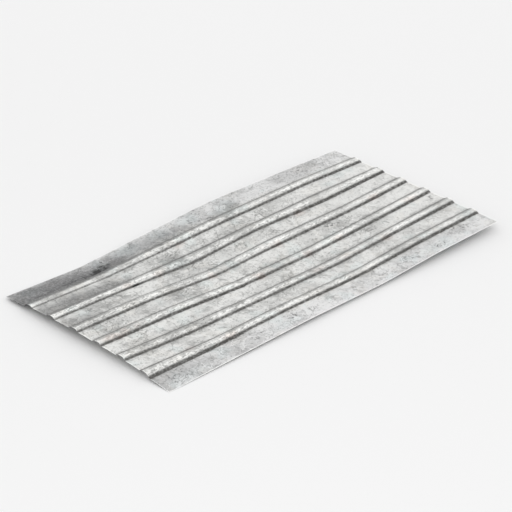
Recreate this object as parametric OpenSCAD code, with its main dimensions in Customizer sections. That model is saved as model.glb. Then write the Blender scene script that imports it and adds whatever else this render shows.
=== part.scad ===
/* [Sheet] */
// Length of the sheet, along the ribs
sheet_length = 2000; // [1800:10:3000]
// Width of the sheet, across the ribs
sheet_width = 1000; // [850:5:1200]
// Thickness of the galvanised steel
sheet_t = 0.6; // [0.4:0.1:1.2]

/* [Ribs] */
// Number of ribs, evenly spaced between the two long edges
rib_count = 6; // [4:1:7]
// Height of a rib above the pans
rib_height = 10; // [6:0.5:14]
// Width of a rib at its foot, between the bend lines
rib_base = 58; // [46:1:66]
// Width of a rib's flat crest, between the bend lines
rib_crest = 25; // [18:1:30]
// Radius of the rolled bends, at the middle of the sheet's thickness
bend_radius = 8; // [4:0.5:9]
// Straight facets that each rolled bend is made of
bend_facets = 2; // [1:1:3]

/* [Bends out of true] */
// Share of the bending: 1 is the sheet as found, 0 is straight from the rolls
bend_share = 1; // [0:0.05:1.2]
// Reach of each cross bend to either side of its line
bend_reach = 40; // [20:5:50]

/* [Hidden] */

zinc_grey = [0.80, 0.81, 0.82];
rib_pitch = sheet_width / (rib_count + 1);
half_length = sheet_length / 2;
half_width = sheet_width / 2;

// The origin is on the floor under the middle of the sheet. x runs along the ribs and y across
// them, from the near edge to the far edge.

// Cross bends: how far along the sheet each one lies, as a share of half the length.
// The middle bend has two lines, so that the sheet lies flat on the floor between them.
bend_places = [-1, -0.6, -0.2, 0.14, 0.26, 0.6, 1];

// Lift along each cross bend, from the far edge (0) to the near edge (1), as
// [share of the width, millimetres]. The sheet touches the floor where the lift is nought.
left_end_arch = [
    [0, 13], [0.115, 19], [0.17, 30], [0.45, 38], [0.69, 33], [0.83, 25], [0.88, 13], [1, 0]
];
far_edge_dip = [
    [0, -0.9], [0.17, 18], [0.42, 30], [0.6, 25], [0.74, 9], [1, 9]
];
left_fold = [
    [0, 26], [0.17, 26], [0.26, 20], [0.31, 5], [0.55, 1], [0.74, 5], [0.88, 16], [1, 17]
];
belly = [
    [0, 47], [0.115, 38], [0.31, 26], [0.45, 14], [0.545, 0], [0.69, 0], [0.83, 6], [0.88, 11], [1, 14]
];
right_fold = [
    [0, 40], [0.17, 41], [0.26, 36], [0.31, 20], [0.45, 16], [0.6, 16], [0.74, 21], [0.88, 30], [1, 32]
];
right_end_rise = [[0, 31], [1, 40]];
bend_lifts = [left_end_arch, far_edge_dip, left_fold, belly, belly, right_fold, right_end_rise];

// Rolled section

// A rib's wall: its angle, and how far a bend of the given radius reaches from the bend line
wall_angle = atan2(rib_height, (rib_base - rib_crest) / 2);
bend_tangent = bend_radius * tan(wall_angle / 2);

// Points of one bend as [y, z, angle of the surface], for a bend line at [y, z] that turns
// the surface from angle a0 to angle a1
function bend_points(y, z, a0, a1) =
    let (
        turn = a1 > a0 ? 1 : -1,
        start = [y, z] - bend_tangent * [cos(a0), sin(a0)],
        centre = start + turn * bend_radius * [-sin(a0), cos(a0)]
    )
    [
        for (i = [0 : bend_facets])
            let (a = a0 + (a1 - a0) * i / bend_facets)
            [
                centre.x + turn * bend_radius * sin(a),
                centre.y - turn * bend_radius * cos(a),
                a
            ]
    ];

// One rib as a row of points from its near foot to its far foot, centred on y
function rib_points(y) = concat(
    bend_points(y - rib_base / 2, 0, 0, wall_angle),
    bend_points(y - rib_crest / 2, rib_height, wall_angle, 0),
    bend_points(y + rib_crest / 2, rib_height, 0, -wall_angle),
    bend_points(y + rib_base / 2, 0, -wall_angle, 0)
);

// The whole section from the near edge to the far edge
section = concat(
    [[-half_width, 0, 0]],
    [for (i = [1 : rib_count]) each rib_points(-half_width + i * rib_pitch)],
    [[half_width, 0, 0]]
);

// Bends out of true

bend_xs = bend_places * half_length;
last_bend = len(bend_xs) - 1;

// Lift of cross bend k at y
function line_lift(k, y) = bend_share * lookup((half_width - y) / sheet_width, bend_lifts[k]);

// Slope of the bay between cross bends k and k + 1 at y
function bay_slope(k, y) = (line_lift(k + 1, y) - line_lift(k, y)) / (bend_xs[k + 1] - bend_xs[k]);

// A ramp that starts at nought over a parabola as long as the bend
function soft_ramp(d) =
    d <= -bend_reach ? 0 :
    d >= bend_reach ? d :
    pow(d + bend_reach, 2) / (4 * bend_reach);

// Lift of the sheet at any place: the first bay's slope, turned by each bend that it passes
function sheet_lift(x, y) =
    line_lift(0, y) + bay_slope(0, y) * (x - bend_xs[0])
    + sum_of([
        for (k = [1 : last_bend - 1])
            (bay_slope(k, y) - bay_slope(k - 1, y)) * soft_ramp(x - bend_xs[k])
    ]);

function sum_of(values, i = 0) = i < len(values) ? values[i] + sum_of(values, i + 1) : 0;

// Places along the sheet where the section is set: the two ends, and five across each bend
stations = concat(
    [-half_length],
    [for (k = [1 : last_bend - 1]) for (i = [-1 : 0.5 : 1]) bend_xs[k] + i * bend_reach],
    [half_length]
);

// One skin of the sheet, offset from the middle of its thickness by side * sheet_t / 2
function skin(side) = [
    for (x = stations)
        for (p = section)
            [
                x,
                p.x - side * sheet_t / 2 * sin(p.z),
                p.y + sheet_t / 2 * (1 + side * cos(p.z)) + sheet_lift(x, p.x)
            ]
];

// Steel sheet, rolled in one piece: the section is lofted along the stations
module roof_sheet() {
    across = len(section);
    along = len(stations);
    lower = across * along;
    last_row = (along - 1) * across;
    upper_faces = [
        for (j = [0 : along - 2])
            for (i = [0 : across - 2])
                let (a = j * across + i)
                each [[a, a + 1, a + across + 1], [a, a + across + 1, a + across]]
    ];
    lower_faces = [for (f = upper_faces) [f[0] + lower, f[2] + lower, f[1] + lower]];
    end_faces = [
        for (i = [0 : across - 2])
            each [
                [i, i + lower, i + 1 + lower],
                [i, i + 1 + lower, i + 1],
                [last_row + i, last_row + i + 1 + lower, last_row + i + lower],
                [last_row + i, last_row + i + 1, last_row + i + 1 + lower]
            ]
    ];
    edge_faces = [
        for (j = [0 : along - 2])
            let (a = j * across, b = a + across, c = b - 1, d = b + across - 1)
            each [
                [a, b + lower, a + lower],
                [a, b, b + lower],
                [c, c + lower, d + lower],
                [c, d + lower, d]
            ]
    ];
    color(zinc_grey)
        polyhedron(
            points = concat(skin(1), skin(-1)),
            faces = concat(upper_faces, lower_faces, end_faces, edge_faces),
            convexity = 10
        );
}

roof_sheet();
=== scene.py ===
import math

import bpy
from mathutils import Matrix, Vector


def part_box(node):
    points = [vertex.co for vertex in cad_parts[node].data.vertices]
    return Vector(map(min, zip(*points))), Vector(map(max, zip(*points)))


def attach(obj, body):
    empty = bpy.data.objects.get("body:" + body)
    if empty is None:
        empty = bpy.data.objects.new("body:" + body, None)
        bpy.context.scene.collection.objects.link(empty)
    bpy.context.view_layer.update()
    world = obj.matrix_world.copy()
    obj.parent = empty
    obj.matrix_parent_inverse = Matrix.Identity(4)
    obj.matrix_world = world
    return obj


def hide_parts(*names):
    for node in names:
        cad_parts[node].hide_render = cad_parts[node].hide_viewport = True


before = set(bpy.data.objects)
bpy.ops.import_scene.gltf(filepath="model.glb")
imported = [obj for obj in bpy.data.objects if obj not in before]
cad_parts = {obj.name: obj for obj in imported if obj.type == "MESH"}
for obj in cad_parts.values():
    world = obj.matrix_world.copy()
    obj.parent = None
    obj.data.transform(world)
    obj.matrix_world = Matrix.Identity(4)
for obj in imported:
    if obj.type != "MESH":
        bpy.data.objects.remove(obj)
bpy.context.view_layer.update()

sheetLow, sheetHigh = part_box("roof_sheet")
sheetLength = sheetHigh.x - sheetLow.x
sheetWidth = sheetHigh.y - sheetLow.y
print("frame loaded, sheet", round(sheetLength, 3), "by", round(sheetWidth, 3))


# roof sheet: the same rib and the same cross bends as the solid

# lift along each cross bend in millimetres, from the far edge (0) to the near edge (1)
leftEndArch = [(0, 13), (0.115, 19), (0.17, 30), (0.45, 38), (0.69, 33), (0.83, 25), (0.88, 13), (1, 0)]
farEdgeDip = [(0, -0.9), (0.17, 18), (0.42, 30), (0.6, 25), (0.74, 9), (1, 9)]
leftFold = [(0, 26), (0.17, 26), (0.26, 20), (0.31, 5), (0.55, 1), (0.74, 5), (0.88, 16), (1, 17)]
belly = [
    (0, 47), (0.115, 38), (0.31, 26), (0.45, 14), (0.545, 0), (0.69, 0), (0.83, 6), (0.88, 11), (1, 14),
]
rightFold = [
    (0, 40), (0.17, 41), (0.26, 36), (0.31, 20), (0.45, 16), (0.6, 16), (0.74, 21), (0.88, 30), (1, 32),
]
rightEndRise = [(0, 31), (1, 40)]

# metres
roofSheet = {
    "ribCount": 6,
    "ribHeight": 0.010,
    "ribBase": 0.058,
    "ribCrest": 0.025,
    "bendRadius": 0.008,
    "bendSegments": 3,
    "thickness": 0.0006,
    "smoothAngle": 35,         # degrees
    "panStrips": 5,            # strips across each flat pan
    "lengthCuts": (3, 75),     # cut in four, then each quarter again
    "bendReach": 0.040,
    "bendPlaces": (-1, -0.6, -0.2, 0.14, 0.26, 0.6, 1),  # shares of half the length
    "bendLifts": (leftEndArch, farEdgeDip, leftFold, belly, belly, rightFold, rightEndRise),
    "waveHeight": 0.0007,      # slack waves in the flat pans
    "waveLength": 0.29,
    "slowWave": 0.62,          # turns of a slower wave for each turn of the first
    "waveShifts": (2.4, 1.7),  # radians, so that no two pans wave alike
    "waveHold": 4,             # the higher, the stiller beside the ribs
}
ribPitch = sheetWidth / (roofSheet["ribCount"] + 1)
sameSpot = 1e-4  # anything closer counts as one place


def lookUp(place, points):
    for (p0, z0), (p1, z1) in zip(points, points[1:]):
        if place <= p1:
            return z0 + (z1 - z0) * max(place - p0, 0) / (p1 - p0)
    return points[-1][1]


def softRamp(distance, reach):
    if distance <= -reach:
        return 0
    if distance >= reach:
        return distance
    return (distance + reach) ** 2 / (4 * reach)


# the first bay's slope, turned by each cross bend that it passes
def sheetLift(x, y):
    share = (sheetWidth / 2 - y) / sheetWidth
    places = [p * sheetLength / 2 for p in roofSheet["bendPlaces"]]
    lifts = [lookUp(share, line) / 1000 for line in roofSheet["bendLifts"]]
    slopes = [(lifts[k + 1] - lifts[k]) / (places[k + 1] - places[k]) for k in range(len(places) - 1)]
    z = lifts[0] + slopes[0] * (x - places[0])
    for k in range(1, len(slopes)):
        z += (slopes[k] - slopes[k - 1]) * softRamp(x - places[k], roofSheet["bendReach"])
    return z


# the pans are slack: each one waves along its length, and stays still beside the ribs
def panWave(x, y):
    place = (y - sheetLow.y) / ribPitch
    pan = math.floor(place)
    rise = math.sin(math.pi * (place - pan)) ** roofSheet["waveHold"]
    phase = 2 * math.pi * x / roofSheet["waveLength"]
    shift, slowShift = roofSheet["waveShifts"]
    swell = 2 + math.sin(phase + shift * pan)
    swell += math.sin(roofSheet["slowWave"] * phase + slowShift * pan * pan)
    return roofSheet["waveHeight"] / 2 * rise * swell


def editMode():
    bpy.ops.object.mode_set(mode="EDIT")


def objectMode():
    bpy.ops.object.mode_set(mode="OBJECT")


def cutAcross(places):
    for y in places:
        bpy.ops.mesh.select_all(action="SELECT")
        bpy.ops.mesh.bisect(plane_co=(0, y, 0), plane_no=(0, 1, 0))


# from edit mode to edit mode, with only the wanted edges picked
def pickEdges(piece, wanted):
    bpy.ops.mesh.select_all(action="DESELECT")
    objectMode()
    for edge in piece.data.edges:
        a, b = (piece.data.vertices[i].co for i in edge.vertices)
        edge.select = wanted(a, b)
    editMode()


def makeRoofSheet():
    ribs = [sheetLow.y + ribPitch * (i + 1) for i in range(roofSheet["ribCount"])]
    halfBase = roofSheet["ribBase"] / 2
    halfCrest = roofSheet["ribCrest"] / 2
    bendLines = [y + d for y in ribs for d in (-halfBase, -halfCrest, halfCrest, halfBase)]

    # a plane of the sheet's size, cut along every bend line
    bpy.ops.object.select_all(action="DESELECT")
    bpy.ops.mesh.primitive_plane_add(size=1)
    sheet = bpy.context.object
    sheet.name = "ribbed_sheet"
    sheet.scale = (sheetLength, sheetWidth, 1)
    bpy.ops.object.transform_apply(scale=True)
    editMode()
    bpy.ops.mesh.select_mode(type="EDGE")
    cutAcross(bendLines)
    objectMode()

    # the crests go up, and the walls follow
    for face in sheet.data.polygons:
        face.select = any(abs(face.center.y - y) < halfCrest for y in ribs)
    editMode()
    bpy.ops.mesh.select_mode(type="FACE")
    bpy.ops.transform.translate(value=(0, 0, roofSheet["ribHeight"]))
    bpy.ops.mesh.select_mode(type="EDGE")

    # every bend line is rolled round
    wallAngle = math.atan2(roofSheet["ribHeight"], halfBase - halfCrest)
    tangent = roofSheet["bendRadius"] * math.tan(wallAngle / 2)

    def onBendLine(a, b):
        return abs(a.y - b.y) < sameSpot and any(abs(a.y - y) < sameSpot for y in bendLines)

    pickEdges(sheet, onBendLine)
    bpy.ops.mesh.bevel(offset=tangent, segments=roofSheet["bendSegments"], profile=0.5, affect="EDGES")

    # strips across the pans, then cuts along the length
    panEdges = [sheetLow.y] + [y + d for y in ribs for d in (-halfBase, halfBase)] + [sheetHigh.y]
    strips = roofSheet["panStrips"]
    for start, end in zip(panEdges[0::2], panEdges[1::2]):
        cutAcross([start + (end - start) * i / strips for i in range(1, strips)])
    for cuts in roofSheet["lengthCuts"]:
        pickEdges(sheet, lambda a, b: abs(a.x - b.x) > sameSpot)
        bpy.ops.mesh.subdivide(number_cuts=cuts)
    objectMode()

    # bent out of true, as the solid is
    for point in sheet.data.vertices:
        point.co.z += sheetLift(point.co.x, point.co.y) + panWave(point.co.x, point.co.y)

    gauge = sheet.modifiers.new("gauge", "SOLIDIFY")
    gauge.thickness = roofSheet["thickness"]
    gauge.offset = 1
    bpy.ops.object.modifier_apply(modifier=gauge.name)
    bpy.ops.object.shade_smooth_by_angle(angle=math.radians(roofSheet["smoothAngle"]))
    print("roof sheet made,", len(sheet.data.polygons), "faces")
    return sheet


sheet = makeRoofSheet()


# galvanised steel, weathered, with painted shade and painted highlights: patterns in metres on the sheet's
# own coordinates

galvanised = {
    "roughness": 0.36,
    "dullRoughness": 0.22,     # added where the zinc is dullest
    "grimeRoughness": 0.25,    # added where the grime is thickest
    "metallic": 0.8,
    "grimeMetallic": 0.35,
    "bumpStrength": 0.35,
    "bumpDepth": 0.0012,
    "bumpShares": {"mottle": 0.6, "dust": 0.25, "spangle": 0.15},
    "raggedness": 1.5,         # of the edges of all marks
    "hairBend": 0.09,          # metres that the hairlines wander
    "hairCore": 0.4,           # share of a hairline's width that is solid
    "islandEdge": 0.035,       # softness of an island's edge, as a step in its noise
    # tones, from rubbed zinc and painted highlight to dirt and painted shade
    "flake": (0.95, 0.95, 0.926, 1),
    "light": (0.735, 0.735, 0.719, 1),
    "dull": (0.35, 0.35, 0.341, 1),
    "speck": (0.20, 0.20, 0.195, 1),
    "shade": (0.147, 0.147, 0.146, 1),
    "film": (0.19, 0.188, 0.181, 1),
    "thinGrime": (0.215, 0.212, 0.203, 1),
    "grime": (0.084, 0.081, 0.076, 1),
    "rust": (0.090, 0.076, 0.069, 1),
    "stain": (0.03, 0.03, 0.03, 1),
    # faint tints, multiplied in
    "blush": (1.0, 0.935, 0.915, 1),
    "cool": (0.95, 0.99, 0.995, 1),
    "blue": (0.984, 0.984, 1.0, 1),
    "warm": (1.0, 0.992, 0.982, 1),
    # painted highlight along the cut edges, in metres from the edge: where there is none of it, and all
    "edgeBorder": (0.0050, 0.0025),
    "edgeWander": 0.006,
    "edgeShare": 0.8,
    # side flanges, in metres from the sheet's middle line, in the same way
    "flangeBorder": (0.385, 0.41),
    "farFlangeBorder": (0.385, 0.40),
    # borders beside a rib, in metres from its middle line, in the same way
    "crestBorder": (0.0205, 0.0170),
    # the crest's bright band is kept off its far half: a painted highlight on the near side
    "crestFarBorder": (0.0095, -0.0060),
    "footTop": (0.0185, 0.0245),
    "footEnd": (0.0335, 0.0285),
    "skirtEnd": (0.0460, 0.0290),
    # how far those borders move, in metres
    "borderWander": 0.0075,
    "nearRibsMove": 0.0018,    # near walls of the ribs towards the near edge
    "rightEndMove": -0.0014,   # foot of the near walls at the right end
    "farWallClimb": (0.55, 0.0140),
    "farWallEnd": 0.0010,
    "topMoves": {"along": 0.0012, "faint": -0.0050},
    "endMoves": {"along": -0.0010, "rusty": -0.0022, "heavy": -0.0025, "faint": -0.0015},
    # how much each pattern dulls or shades the zinc
    "dullStart": 0.06,
    "dullFloor": (-0.06, 0.12),  # lowest value, and how softly it is met
    "dulling": {
        # along: painted shade, darker towards the left end; skirt: dirt and painted shade on the pans
        # beside the rib feet
        "along": -0.04, "worn": 0.14, "bright": -0.16, "skirt": 0.27,
        "darkHair": 0.7, "lightHair": -0.45, "spangle": 0.12,
    },
    "dullSwings": {"fleck": 0.25, "dust": 0.4, "bigSpangle": 0.12},
    "greySwings": {"broad": 1.1, "patchy": 0.5},
    # grey islands: shift of the noise, its scale, the level of their edge, share
    "greyIslands": [
        ((2, 7, 0), 6, 0.50, 0.18), ((1, 4, 0), 14, 0.56, 0.13),
        ((6, 2, 0), 17, 0.57, -0.13), ((9, 8, 0), 36, 0.58, 0.15),
    ],
    # marks: middle x and y, reach in x and y, strength; ragged edge and solid core for each list
    "marks": {
        # painted shade where the arched left end, its far flange and rib 1 turn from the light, and a few
        # dull patches elsewhere, each within its own pan
        "shade": {
            "ragged": 0.22, "core": 0.3, "ownPan": True,
            "spots": [
                (-0.84, 0.395, 0.62, 0.175, 0.96), (-0.46, 0.4, 0.76, 0.13, 0.58),
                (-0.88, 0.235, 0.48, 0.125, 0.78), (-0.8, 0.3565, 0.38, 0.016, 0.75),
                (-1.02, 0.1, 0.3, 0.1, 0.45), (-0.93, -0.415, 0.26, 0.06, 0.34),
                (0.66, 0.45, 0.22, 0.12, 0.32), (0.35, 0.44, 0.9, 0.14, 0.12),
                (-0.05, 0.143, 0.08, 0.05, 0.22), (-0.64, 0, 0.24, 0.05, 0.16),
                (0.46, 0, 0.1, 0.05, 0.14), (0.77, -0.42, 0.12, 0.05, 0.18),
                (-0.46, 0.412, 0.14, 0.05, 0.85),
            ],
        },
        # pans and crests that stayed bright
        "bright": {
            "ragged": 0.4,
            "spots": [
                (0.1, -0.14, 0.25, 0.08, 1), (0.3, -0.29, 0.5, 0.08, 0.7), (0.12, -0.45, 0.3, 0.07, 0.7),
                (-0.9, 0, 0.22, 0.08, 1), (-0.86, -0.14, 0.3, 0.08, 1.3), (-0.88, -0.29, 0.24, 0.08, 0.9),
                (-0.42, 0.14, 0.26, 0.08, 1.2), (-0.38, 0.214, 0.28, 0.04, 1),
                (0.4, -0.074, 0.4, 0.04, 1.4), (0.25, -0.214, 0.3, 0.04, 1), (0.42, -0.45, 0.22, 0.06, 1),
                (-0.12, 0.47, 0.16, 0.05, 0.9), (-0.45, 0.285, 0.18, 0.05, 0.6),
                (0.04, 0.285, 0.08, 0.05, 0.8), (0.48, -0.143, 0.16, 0.05, 1.5),
                (0.45, -0.286, 0.09, 0.05, 1.5), (0.84, -0.286, 0.1, 0.05, 0.9),
                (-0.16, -0.286, 0.08, 0.05, 0.9), (0.46, -0.42, 0.09, 0.05, 1.2),
                (0.96, -0.46, 0.12, 0.06, 1), (0.4, 0.21, 0.28, 0.03, 1.1),
                (-0.02, -0.218, 0.26, 0.03, 1), (0.8, -0.218, 0.22, 0.03, 1),
                (0.82, -0.074, 0.22, 0.03, 0.9), (-0.4, 0.33, 0.28, 0.04, 1.2),
                (-1, 0.338, 0.05, 0.03, 1.2),
            ],
        },
        # dull worn patches
        "worn": {
            "spots": [
                (-0.13, 0.42, 0.12, 0.05, 0.4), (0.04, 0.41, 0.1, 0.04, 0.7),
                (0.23, 0.41, 0.08, 0.04, 0.5), (0.72, 0.46, 0.12, 0.05, 0.6),
                (-0.28, 0.275, 0.09, 0.05, 0.8), (0.06, 0.265, 0.12, 0.04, 0.6),
                (0.28, 0.29, 0.09, 0.05, 0.6), (-0.83, 0.14, 0.06, 0.05, 0.8),
                (-0.04, 0.14, 0.06, 0.05, 0.6), (0.045, 0.145, 0.04, 0.03, 0.9),
                (0.26, 0.13, 0.06, 0.04, 0.5), (-0.49, 0.005, 0.1, 0.04, 0.7), (-0.82, 0, 0.1, 0.05, 0.4),
                (0.5, 0.005, 0.12, 0.05, 1.4), (-0.42, -0.14, 0.08, 0.05, 0.5),
                (0.29, -0.15, 0.08, 0.04, 0.5), (0.57, -0.13, 0.06, 0.04, 0.6),
                (0.965, -0.137, 0.035, 0.025, 1.2), (-0.2, -0.3, 0.1, 0.04, 0.3),
                (-0.9, -0.43, 0.1, 0.06, 1), (-0.24, -0.43, 0.08, 0.06, 0.9),
                (-0.12, -0.45, 0.05, 0.03, 0.7), (0.31, -0.45, 0.05, 0.03, 0.6),
                (0.66, -0.46, 0.07, 0.03, 1.1), (0.82, -0.415, 0.09, 0.035, 1.3),
                (-0.87, 0.34, 0.09, 0.016, 0.8), (-0.63, 0.34, 0.05, 0.016, 0.9),
                (-0.58, -0.215, 0.12, 0.02, 1.2), (-0.05, -0.215, 0.09, 0.02, 1.2),
                (-0.52, 0.08, 0.18, 0.018, 0.8), (-0.2, -0.348, 0.4, 0.012, 0.7),
            ],
        },
        # crest rubbed evenly, with a painted highlight on its near half
        "smooth": {"core": 0.5, "spots": [(-0.79, 0.35, 0.31, 0.05, 0.95)]},
        # stretches of a rib's near foot with more grime and painted shade
        "heavy": {
            "core": 0.4,
            "spots": [
                (-0.9, -0.385, 0.6, 0.05, 2.8), (0.78, 0.186, 0.45, 0.05, 0.7),
                (-0.62, -0.098, 0.75, 0.05, 1.5), (0.1, -0.385, 1, 0.05, 0.6),
                (-0.8, -0.243, 0.36, 0.05, 0.7), (-0.75, 0.043, 0.6, 0.05, 0.6),
            ],
        },
        # and with less
        "faint": {
            "core": 0.4,
            "spots": [
                (-0.8, 0.33, 0.85, 0.06, 0.62), (-0.22, 0.043, 0.35, 0.05, 0.3),
                (0.28, -0.243, 0.34, 0.05, 0.25),
            ],
        },
        # rusty spots beside the ribs
        "rusty": {
            "spots": [
                (-0.88, -0.082, 0.14, 0.036, 1), (-0.24, 0.045, 0.05, 0.03, 0.8),
                (0.15, 0.045, 0.05, 0.03, 0.7), (-0.09, -0.092, 0.06, 0.04, 1),
                (0.21, -0.09, 0.05, 0.03, 0.9), (0.41, -0.09, 0.05, 0.03, 0.7),
                (0.43, 0.178, 0.07, 0.03, 0.8), (-0.17, 0.32, 0.05, 0.03, 0.8),
                (-0.41, 0.198, 0.05, 0.03, 0.55), (0.78, 0.05, 0.06, 0.03, 0.7),
                (0.55, -0.245, 0.06, 0.03, 0.7), (-0.74, -0.335, 0.06, 0.03, 0.6),
                (0.87, -0.085, 0.07, 0.03, 0.7), (-0.54, -0.37, 0.06, 0.03, 0.7),
                (-0.59, 0.2, 0.05, 0.03, 0.7), (0.33, -0.222, 0.08, 0.03, 0.6),
                (0.13, -0.222, 0.07, 0.03, 0.6),
            ],
        },
        # dark smudges, their cores and the scratches around them
        "smudge": {
            "ragged": 1.3,
            "spots": [
                (-0.555, 0.408, 0.055, 0.032, 1), (-0.62, 0.398, 0.05, 0.018, 0.7),
                (-0.88, 0.4, 0.12, 0.012, 0.6), (-0.74, 0.405, 0.07, 0.012, 0.5),
                (-1, 0.405, 0.035, 0.02, 0.5),
            ],
        },
        "smudgeCore": {
            "ragged": 0.5, "core": 0.2,
            "spots": [
                (-0.578, 0.402, 0.032, 0.022, 1.5), (-0.538, 0.427, 0.022, 0.012, 0.9),
                (-0.505, 0.418, 0.02, 0.012, 0.7), (-0.6, 0.393, 0.03, 0.012, 0.9),
                (-0.545, 0.1875, 0.042, 0.009, 0.9),
            ],
        },
        "scratched": {
            "ragged": 0.3,
            "spots": [
                (-0.62, 0.405, 0.2, 0.035, 1), (-0.86, 0.4, 0.16, 0.02, 0.6),
            ],
        },
        # cool patches
        "cool": {
            "spots": [
                (-0.9, 0.46, 0.08, 0.05, 0.8), (-0.37, 0.45, 0.12, 0.07, 1),
                (-0.18, 0.45, 0.1, 0.06, 0.9), (0, 0.45, 0.1, 0.06, 0.9), (0.22, 0.44, 0.08, 0.06, 0.7),
                (-0.85, -0.47, 0.16, 0.05, 0.6), (-0.3, -0.46, 0.12, 0.04, 0.7),
                (0.6, -0.46, 0.12, 0.05, 0.7),
            ],
        },
    },
}

metal = bpy.data.materials.new("galvanised_steel")
metal.use_nodes = True
tree = metal.node_tree


def addNode(kind, inputs, **settings):
    made = tree.nodes.new(kind)
    for key, value in settings.items():
        setattr(made, key, value)
    for key, value in inputs.items():
        if isinstance(value, bpy.types.NodeSocket):
            tree.links.new(value, made.inputs[key])
        else:
            made.inputs[key].default_value = value
    return made


def calc(operation, a, b=0.0, c=0.0):
    return addNode("ShaderNodeMath", {0: a, 1: b, 2: c}, operation=operation).outputs[0]


def vector(operation, a, b=(0, 0, 0), c=(0, 0, 0)):
    return addNode("ShaderNodeVectorMath", {0: a, 1: b, 2: c}, operation=operation)


def plus(a, b):
    return calc("ADD", a, b)


def larger(a, b):
    return calc("MAXIMUM", a, b)


def times(first, *others):
    for other in others:
        first = calc("MULTIPLY", first, other)
    return first


def addShare(total, value, share):
    return calc("MULTIPLY_ADD", value, share, total)


# a noise is 0.5 on average, so this lifts as much as it lowers
def addSwing(total, noise, share):
    return addShare(total, calc("SUBTRACT", noise, 0.5), share)


# low gives start and high gives end, with a soft run between them
def fade(value, low, high, start=0.0, end=1.0):
    inputs = {"Value": value, "From Min": low, "From Max": high, "To Min": start, "To Max": end}
    return addNode("ShaderNodeMapRange", inputs, interpolation_type="SMOOTHSTEP").outputs[0]


def choose(factor, first, second):
    return addNode("ShaderNodeMix", {0: factor, 2: first, 3: second}).outputs[0]


def tint(factor, first, second, blend="MIX"):
    inputs = {0: factor, 6: first, 7: second}
    return addNode("ShaderNodeMix", inputs, data_type="RGBA", blend_type=blend).outputs[2]


def cloud(scale, detail, roughness=0.55, distortion=0.0, stretch=(1, 1, 1), shift=(0, 0, 0)):
    moved = vector("MULTIPLY_ADD", place, stretch, shift).outputs[0]
    inputs = {"Vector": moved, "Scale": scale, "Detail": detail}
    inputs.update({"Roughness": roughness, "Distortion": distortion})
    return addNode("ShaderNodeTexNoise", inputs).outputs["Fac"]


# zinc crystals: each cell has its own value
def crystals(scale, stretch=(1, 1, 1)):
    moved = vector("MULTIPLY", place, stretch).outputs[0]
    cells = addNode("ShaderNodeTexVoronoi", {"Vector": moved, "Scale": scale}).outputs["Color"]
    return addNode("ShaderNodeSeparateColor", {0: cells}).outputs[0]


# thin lines, the borders of warped cells
def hairlines(scale, wide):
    bend = galvanised["hairBend"]
    bent = vector("MULTIPLY_ADD", warp, (bend, bend, 0), place).outputs[0]
    cells = {"Vector": bent, "Scale": scale}
    edge = addNode("ShaderNodeTexVoronoi", cells, feature="DISTANCE_TO_EDGE").outputs["Distance"]
    return fade(edge, wide * scale, wide * scale * galvanised["hairCore"])


# patches with a clear edge, where a smooth noise passes a level
def islands(shift, scale, level):
    noise = cloud(scale, detail=2.5, roughness=0.5, distortion=0.7, shift=shift)
    return fade(noise, level, level + galvanised["islandEdge"])


# soft patches: each one falls off from its middle, and the strongest counts
def softPatches(spots, ragged=1.0, core=0.1, ownPan=False):
    total = 0.0
    wobble = times(raggedness, ragged)
    for midX, midY, reachX, reachY, strength in spots:
        shrink = (1 / reachX, 1 / reachY, 0)
        away = vector("MULTIPLY_ADD", place, shrink, (-midX / reachX, -midY / reachY, 0))
        distance = vector("LENGTH", away.outputs[0]).outputs["Value"]
        spot = fade(plus(distance, wobble), core, 1.0, strength, 0.0)
        if ownPan:
            panMid = sheetLow.y + (math.floor((midY - sheetLow.y) / ribPitch) + 0.5) * ribPitch
            spot = times(spot, calc("COMPARE", across, panMid, ribPitch / 2))
        total = larger(total, spot)
    return total


place = addNode("ShaderNodeTexCoord", {}).outputs["Object"]
axes = addNode("ShaderNodeSeparateXYZ", {0: place})
along = axes.outputs["X"]
across = axes.outputs["Y"]
fromMiddle = calc("ABSOLUTE", across)
warp = addNode("ShaderNodeTexNoise", {"Vector": place, "Scale": 13.0, "Detail": 1.0}).outputs["Color"]

# patterns of several sizes
pattern = {
    "along": along,
    "broad": cloud(scale=2.8, detail=2),
    "patchy": cloud(scale=5.2, detail=2),
    "middle": cloud(scale=11, detail=4, roughness=0.6),
    "mottle": cloud(scale=24, detail=4, roughness=0.65, distortion=0.8),
    "fleck": cloud(scale=95, detail=3, roughness=0.6),
    "dust": cloud(scale=190, detail=2),
    "flake": cloud(scale=95, detail=3, roughness=0.65, distortion=0.5, stretch=(0.55, 1.3, 1)),
    "spangle": crystals(scale=75),
    "bigSpangle": crystals(scale=36, stretch=(0.8, 1, 1)),
    "scratch": hairlines(scale=37, wide=0.0018),
}
raggedness = addSwing(0.0, pattern["mottle"], galvanised["raggedness"])
for name, values in galvanised["marks"].items():
    pattern[name] = softPatches(**values)
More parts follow.
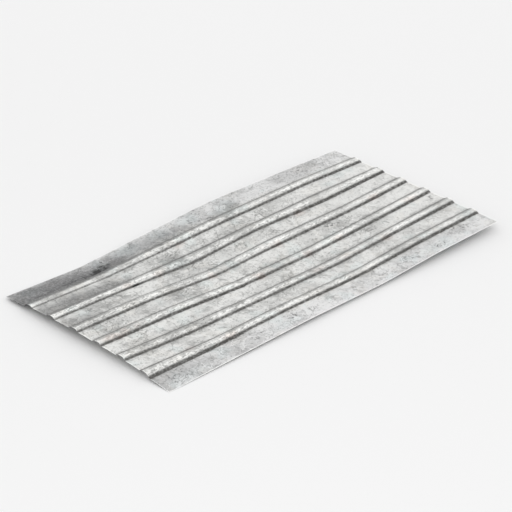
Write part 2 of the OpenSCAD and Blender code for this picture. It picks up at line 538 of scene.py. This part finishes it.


# rib bands: crest, foot on each wall, and a skirt on the pan; the far walls are darker higher up, with dirt
# and painted shade
def addRibBands():
    faint, mottle, fleck = (pattern[k] for k in ("faint", "mottle", "fleck"))
    ribSide = calc("WRAP", plus(across, sheetWidth / 2), ribPitch / 2, -ribPitch / 2)
    farSide = calc("GREATER_THAN", ribSide, 0.0)
    onRibs = calc("LESS_THAN", fromMiddle, sheetWidth / 2 - ribPitch / 2)
    wander = addSwing(0.0, cloud(scale=60, detail=4, roughness=0.8), galvanised["borderWander"])
    ribAway = plus(calc("ABSOLUTE", ribSide), wander)
    nearAway = plus(ribAway, fade(across, 0.12, -0.12, 0.0, galvanised["nearRibsMove"]))

    # distance from the rib's middle line as the upper borders see it, and the lower ones
    ribHigh = choose(farSide, nearAway, calc("MULTIPLY_ADD", ribAway, *galvanised["farWallClimb"]))
    for name, share in galvanised["topMoves"].items():
        ribHigh = addShare(ribHigh, pattern[name], share)
    nearLow = plus(nearAway, fade(along, 0.4, 0.9, 0.0, galvanised["rightEndMove"]))
    ribLow = choose(farSide, nearLow, plus(ribAway, galvanised["farWallEnd"]))
    for name, share in galvanised["endMoves"].items():
        ribLow = addShare(ribLow, pattern[name], share)

    # the foot bands are dirt and the painted shade of the rib walls and creases
    crest = times(fade(ribHigh, *galvanised["crestBorder"]), onRibs)
    foot = times(fade(ribHigh, *galvanised["footTop"]), fade(ribLow, *galvanised["footEnd"]), onRibs)
    nearShare = fade(along, -1.0, -0.5, 0.92, 1.0)
    farShare = times(fade(along, -0.8, 0.8, 1.0, 0.84), fade(mottle, 0.35, 0.60, 0.80, 1.06))
    foot = times(foot, choose(farSide, nearShare, farShare))
    pattern["ribSide"] = ribSide
    pattern["farSide"] = farSide
    pattern["crest"] = times(crest, fade(plus(ribSide, wander), *galvanised["crestFarBorder"]))
    pattern["foot"] = times(foot, fade(faint, 0.0, 1.0, 1.0, 0.55), fade(fleck, 0.32, 0.52, 0.78, 1.0))
    pattern["skirt"] = times(fade(ribLow, *galvanised["skirtEnd"]), onRibs)


# how worn and how busy the zinc is: calmer towards the right end, busiest on the far flange
def addWear():
    worn = pattern["worn"]
    wornHere = plus(worn, fade(plus(pattern["middle"], pattern["broad"]), 1.0, 1.3, 0.0, 0.6))
    busy = fade(calc("SUBTRACT", along, worn), 0.0, 0.8, 1.0, 0.62)
    busy = larger(busy, fade(across, *galvanised["farFlangeBorder"], 0.0, 1.2))
    wideHair = times(hairlines(scale=18, wide=0.0022), islands(shift=(3, 1, 0), scale=9, level=0.52))
    fineHair = times(pattern["scratch"], islands(shift=(8, 6, 0), scale=12, level=0.54))
    lightHair = times(hairlines(scale=26, wide=0.0020), islands(shift=(5, 9, 0), scale=10, level=0.54))
    pattern["busy"] = busy
    pattern["darkHair"] = times(larger(wideHair, fineHair), fade(wornHere, 0.0, 0.8, 0.5, 1.0), busy)
    pattern["lightHair"] = lightHair
    pattern["speck"] = times(fade(pattern["fleck"], 0.59, 0.62), fade(wornHere, 0.0, 0.9, 0.35, 0.9), busy)


def addDullness():
    grey = 0.0
    for shift, scale, level, share in galvanised["greyIslands"]:
        grey = addShare(grey, islands(shift, scale, level), share)
    for name, share in galvanised["greySwings"].items():
        grey = addSwing(grey, pattern[name], share)
    dullness = calc("MULTIPLY_ADD", grey, pattern["busy"], galvanised["dullStart"])
    # towards the left end each pan is darker beside its near rib: painted shade of the arched end
    lean = times(pattern["ribSide"], fade(along, -0.9, 0.5, 1.3, 0.0))
    dullness = plus(dullness, lean)
    for name, share in galvanised["dulling"].items():
        dullness = addShare(dullness, pattern[name], share)
    for name, share in galvanised["dullSwings"].items():
        dullness = addSwing(dullness, pattern[name], share)
    pattern["dullness"] = calc("SMOOTH_MAX", dullness, *galvanised["dullFloor"])


def zincGround():
    colour = tint(fade(pattern["dullness"], -0.25, 1.0), galvanised["light"], galvanised["dull"])
    colour = tint(pattern["speck"], colour, galvanised["speck"])
    pit = fade(cloud(scale=62, detail=1.5, roughness=0.5, stretch=(1, 0.8, 1)), 0.745, 0.765, 0.0, 0.85)
    return tint(times(pit, pattern["busy"]), colour, galvanised["grime"])


# crests rubbed bright in flakes, more in some stretches, and evenly in others, with a painted highlight
# kept to their near side
def rubbedCrests(colour):
    flake, crest, smooth = (pattern[k] for k in ("flake", "crest", "smooth"))
    stretch = fade(plus(pattern["middle"], pattern["broad"]), 1.15, 0.90, 0.62, 1.0)
    stretch = times(stretch, fade(pattern["worn"], 0.1, 0.8, 1.0, 0.35))
    stretch = larger(stretch, pattern["bright"])
    evenly = fade(addShare(pattern["patchy"], along, 0.14), 0.42, 0.64, 0.0, 0.54)
    evenly = larger(evenly, smooth)
    rubbed = larger(fade(flake, 0.40, 0.58, 0.08, 1.0), evenly)
    rubbed = times(rubbed, fade(evenly, 0.0, 0.54, 1.0, 0.78), crest, stretch)
    nearHalf = fade(pattern["ribSide"], 0.0, -0.017, 0.0, 1.1)
    rubbed = times(rubbed, choose(smooth, 1.0, nearHalf))
    pattern["rubbed"] = rubbed
    colour = tint(rubbed, colour, galvanised["flake"])
    return tint(times(crest, fade(flake, 0.42, 0.35, 0.0, 0.42)), colour, galvanised["dull"])


# cut edges lighter: a painted edge highlight
def rubbedEdges(colour):
    fromEnd = calc("SUBTRACT", sheetLength / 2, calc("ABSOLUTE", along))
    fromSide = calc("SUBTRACT", sheetWidth / 2, fromMiddle)
    fromEdge = addSwing(calc("MINIMUM", fromEnd, fromSide), pattern["flake"], galvanised["edgeWander"])
    rubbed = fade(fromEdge, *galvanised["edgeBorder"], 0.0, galvanised["edgeShare"])
    return tint(rubbed, colour, galvanised["flake"])


# painted shade and dull patches, with less on the rubbed and lit crests
def greyAreas(colour):
    onCrest = fade(pattern["crest"], 0.0, 1.0, 1.0, 0.7)
    onRubbed = fade(pattern["rubbed"], 0.0, 0.9, 1.0, 0.15)
    grain = fade(pattern["fleck"], 0.3, 0.7, 0.82, 1.08)
    return tint(times(pattern["shade"], onCrest, onRubbed, grain), colour, galvanised["shade"])


# rusty spots, cool and warm patches, and both flanges a little blue
def faintTints(colour):
    cool = larger(pattern["cool"], fade(cloud(scale=8, detail=2), 0.54, 0.66, 0.0, 0.8))
    flanges = fade(fromMiddle, *galvanised["flangeBorder"])
    warm = islands(shift=(4, 3, 0), scale=9, level=0.56)
    for name, where in (("blush", pattern["rusty"]), ("cool", cool), ("blue", flanges), ("warm", warm)):
        colour = tint(where, colour, galvanised[name], "MULTIPLY")
    return colour


# grime and painted shade along both feet of every rib, a film and painted shade on the far side, rusty in
# places
def footGrime(colour):
    thick = addShare(times(pattern["middle"], 0.2), pattern["fleck"], 0.8)
    thick = addShare(thick, pattern["heavy"], 0.06)
    thick = plus(thick, fade(along, 0.6, 1.0, 0.0, 0.05))
    tone = tint(fade(thick, 0.32, 0.66), galvanised["thinGrime"], galvanised["grime"])
    tone = tint(pattern["farSide"], tone, galvanised["film"])
    tone = tint(fade(pattern["rusty"], 0.3, 0.8), tone, galvanised["rust"])
    return tint(pattern["foot"], colour, tone)


# dark smudges with scratches around them
def darkSmudges(colour):
    smear = times(pattern["smudge"], fade(pattern["fleck"], 0.36, 0.60, 0.45, 1.0))
    scratches = times(pattern["scratch"], pattern["scratched"], 0.8)
    pattern["stain"] = larger(smear, larger(pattern["smudgeCore"], scratches))
    return tint(pattern["stain"], colour, galvanised["stain"])


def finishMetal(colour):
    foot = pattern["foot"]
    rough = addShare(galvanised["roughness"], pattern["dullness"], galvanised["dullRoughness"])
    rough = addShare(rough, foot, galvanised["grimeRoughness"])
    metallic = fade(foot, 0.0, 1.0, galvanised["metallic"], galvanised["grimeMetallic"])
    metallic = larger(metallic, fade(pattern["stain"], 0.3, 1.0))
    height = 0.0
    for name, share in galvanised["bumpShares"].items():
        height = addShare(height, pattern[name], share)
    relief = {"Height": height, "Strength": galvanised["bumpStrength"], "Distance": galvanised["bumpDepth"]}
    normal = addNode("ShaderNodeBump", relief).outputs[0]
    shader = tree.nodes["Principled BSDF"]
    tree.links.new(colour, shader.inputs["Base Color"])
    tree.links.new(rough, shader.inputs["Roughness"])
    tree.links.new(metallic, shader.inputs["Metallic"])
    tree.links.new(normal, shader.inputs["Normal"])


addRibBands()
addWear()
addDullness()
colour = zincGround()
for layer in (rubbedCrests, rubbedEdges, greyAreas, faintTints, footGrime, darkSmudges):
    colour = layer(colour)
finishMetal(colour)
print("galvanised steel made,", len(tree.nodes), "nodes")

sheet.data.materials.clear()
sheet.data.materials.append(metal)
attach(sheet, "root")
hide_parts("roof_sheet")
print("material on")


# floor, light and camera

studio = {
    "floorSize": 80,
    "floorTone": (0.92, 0.92, 0.92, 1),
    "floorRoughness": 0.9,
    "worldTone": (1, 1, 1, 1),
    "worldLevel": 0.82,
    # softboxes: place, width, height and brightness of the face, all turned to the sheet
    "softboxes": {
        "far": ((5.6, 5.6, 5.2), 14, 6, 0.34),
        "front": ((-3.5, -4.5, 7.5), 9, 7, 0.6),
    },
    "facePower": 4,            # watts for each square metre of a face of brightness 1
}
shot = {
    "azimuth": -45.594,
    "elevation": 28.772,
    "roll": 1.378,
    "distance": 10.082,
    "lookAt": (0.0051, 0.0272, 0.0236),
    "lens": 163.9,
    "sensor": 36,
    "clipEnd": 200,
}


def makeFloor():
    bpy.ops.object.select_all(action="DESELECT")
    bpy.ops.mesh.primitive_plane_add(size=studio["floorSize"])
    floor = bpy.context.object
    floor.name = "floor"
    paint = bpy.data.materials.new("floor_paint")
    paint.use_nodes = True
    shader = paint.node_tree.nodes["Principled BSDF"]
    shader.inputs["Base Color"].default_value = studio["floorTone"]
    shader.inputs["Roughness"].default_value = studio["floorRoughness"]
    floor.data.materials.append(paint)


def makeWorld():
    world = bpy.data.worlds.new("studio")
    world.use_nodes = True
    background = world.node_tree.nodes["Background"]
    background.inputs["Color"].default_value = studio["worldTone"]
    background.inputs["Strength"].default_value = studio["worldLevel"]
    bpy.context.scene.world = world


def makeSoftboxes():
    for name, (stand, wide, high, glow) in studio["softboxes"].items():
        lamp = bpy.data.lights.new("softbox_" + name, "AREA")
        lamp.shape = "RECTANGLE"
        lamp.size = wide
        lamp.size_y = high
        lamp.energy = glow * studio["facePower"] * wide * high
        softbox = bpy.data.objects.new("softbox_" + name, lamp)
        softbox.location = stand
        softbox.rotation_euler = (-Vector(stand)).to_track_quat("-Z", "Y").to_euler()
        bpy.context.collection.objects.link(softbox)


def makeCamera():
    turn, rise, roll = (math.radians(shot[k]) for k in ("azimuth", "elevation", "roll"))
    back = Vector((math.sin(turn) * math.cos(rise), -math.cos(turn) * math.cos(rise), math.sin(rise)))
    right = Vector((math.cos(turn), math.sin(turn), 0))
    up = back.cross(right)
    rightRolled = right * math.cos(roll) + up * math.sin(roll)
    upRolled = up * math.cos(roll) - right * math.sin(roll)
    stand = Matrix((rightRolled, upRolled, back)).transposed().to_4x4()
    stand.translation = Vector(shot["lookAt"]) + back * shot["distance"]
    camera = bpy.data.objects.new("camera", bpy.data.cameras.new("camera"))
    camera.data.lens = shot["lens"]
    camera.data.sensor_width = shot["sensor"]
    camera.data.clip_end = shot["clipEnd"]
    camera.matrix_world = stand
    bpy.context.collection.objects.link(camera)
    bpy.context.scene.camera = camera


makeFloor()
makeWorld()
makeSoftboxes()
makeCamera()
bpy.context.scene.view_settings.view_transform = "Standard"
print("studio set")
